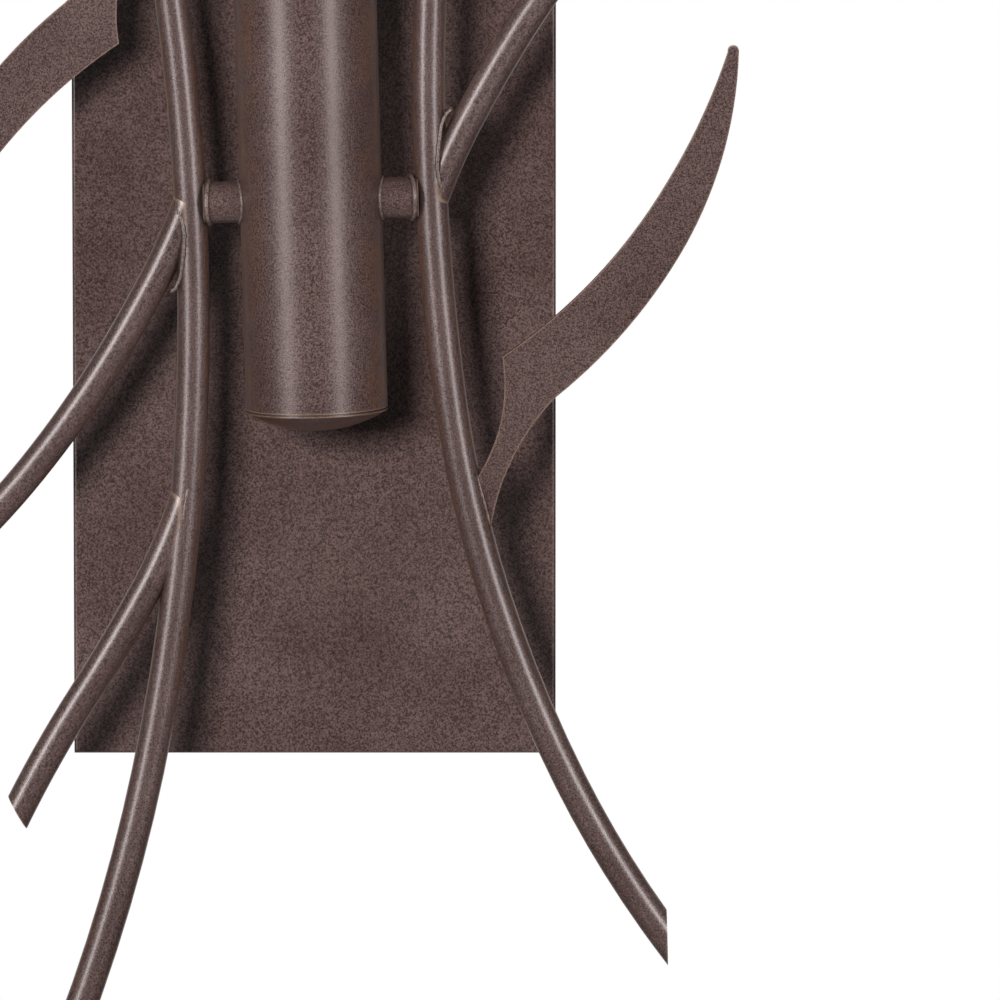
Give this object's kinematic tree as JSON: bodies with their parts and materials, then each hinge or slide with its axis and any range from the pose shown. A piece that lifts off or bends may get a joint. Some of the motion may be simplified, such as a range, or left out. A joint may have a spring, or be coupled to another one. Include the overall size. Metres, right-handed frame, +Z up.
{
  "type": "torch wall sconce",
  "caption": "Wall sconce: a leaning steel torch tube with a flared glass shade, between two bent twigs with leaf blades, on a tall flat plate.",
  "frame": {"origin": "centre of the plate on the wall plane, midway between the two wall-box screws", "axes": "+Y into the wall, so the front faces -Y; +Z up; +X to the viewer's right"},
  "size_m": [0.2098, 0.1281, 0.5529],
  "materials": {
    "bronze_coat": "dark bronze powder coat, satin, lightly grained",
    "plated_steel": "zinc plated",
    "brass": "plain",
    "copper_wire": "bare copper",
    "green_steel": "green",
    "phenolic": "moulded",
    "wire_black": "insulation",
    "wire_white": "insulation",
    "nut_plastic": "moulded",
    "shade_glass": "etched, warm white",
    "lamp_glass": "clear"
  },
  "bodies": {
    "fixture": {"backplate": "bronze_coat", "mounting_strap": "plated_steel", "plate_stud_upper": "plated_steel", "plate_stud_lower": "plated_steel", "stud_nut_upper": "plated_steel", "stud_nut_lower": "plated_steel", "cap_nut_upper": "bronze_coat", "cap_nut_lower": "bronze_coat", "earth_screw": "green_steel", "earth_wire": "copper_wire", "arm": "bronze_coat", "arm_pipe": "plated_steel", "arm_washer": "plated_steel", "arm_nut": "plated_steel", "torch_tube": "bronze_coat", "end_cap": "bronze_coat", "top_plug": "plated_steel", "stem_right": "bronze_coat", "stub_right": "bronze_coat", "inner_shoot_right": "bronze_coat", "outer_shoot_right": "bronze_coat", "blade_right": "bronze_coat", "stem_left": "bronze_coat", "stub_left": "bronze_coat", "inner_shoot_left": "bronze_coat", "outer_shoot_left": "bronze_coat", "blade_left": "bronze_coat", "glass_cup": "bronze_coat", "cup_riser": "plated_steel", "cup_nut_lower": "plated_steel", "cup_nut_upper": "plated_steel", "lamp_holder": "phenolic", "holder_shell": "brass", "holder_contact": "brass", "lead_black": "wire_black", "lead_white": "wire_white", "wire_nut_black": "nut_plastic", "wire_nut_white": "nut_plastic"},
    "shade": {"glass_shade": "shade_glass"},
    "lamp": {"lamp_base": "brass", "lamp_glass": "lamp_glass"},
    "screw_front": {"thumb_screw_front": "bronze_coat"},
    "screw_right": {"thumb_screw_right": "bronze_coat"},
    "screw_left": {"thumb_screw_left": "bronze_coat"}
  },
  "joints": [
    {"name": "shade_lift", "type": "slide", "parent": "fixture", "child": "shade", "axis": [-0.0262, 0, 0.9997], "range_m": [0, 0.15]},
    {"name": "lamp_turn", "type": "hinge", "parent": "fixture", "child": "lamp", "pos_m": [0, -0.066, 0], "axis": [-0.0262, 0, 0.9997], "continuous": true},
    {"name": "screw_front_turn", "type": "hinge", "parent": "fixture", "child": "screw_front", "pos_m": [-0.00374, -0.066, 0.14295], "axis": [0, -1, 0], "continuous": true},
    {"name": "screw_right_turn", "type": "hinge", "parent": "fixture", "child": "screw_right", "pos_m": [-0.00374, -0.066, 0.14295], "axis": [0.8657, 0.5, 0.0227], "continuous": true},
    {"name": "screw_left_turn", "type": "hinge", "parent": "fixture", "child": "screw_left", "pos_m": [-0.00374, -0.066, 0.14295], "axis": [-0.8657, 0.5, -0.0227], "continuous": true}
  ]
}
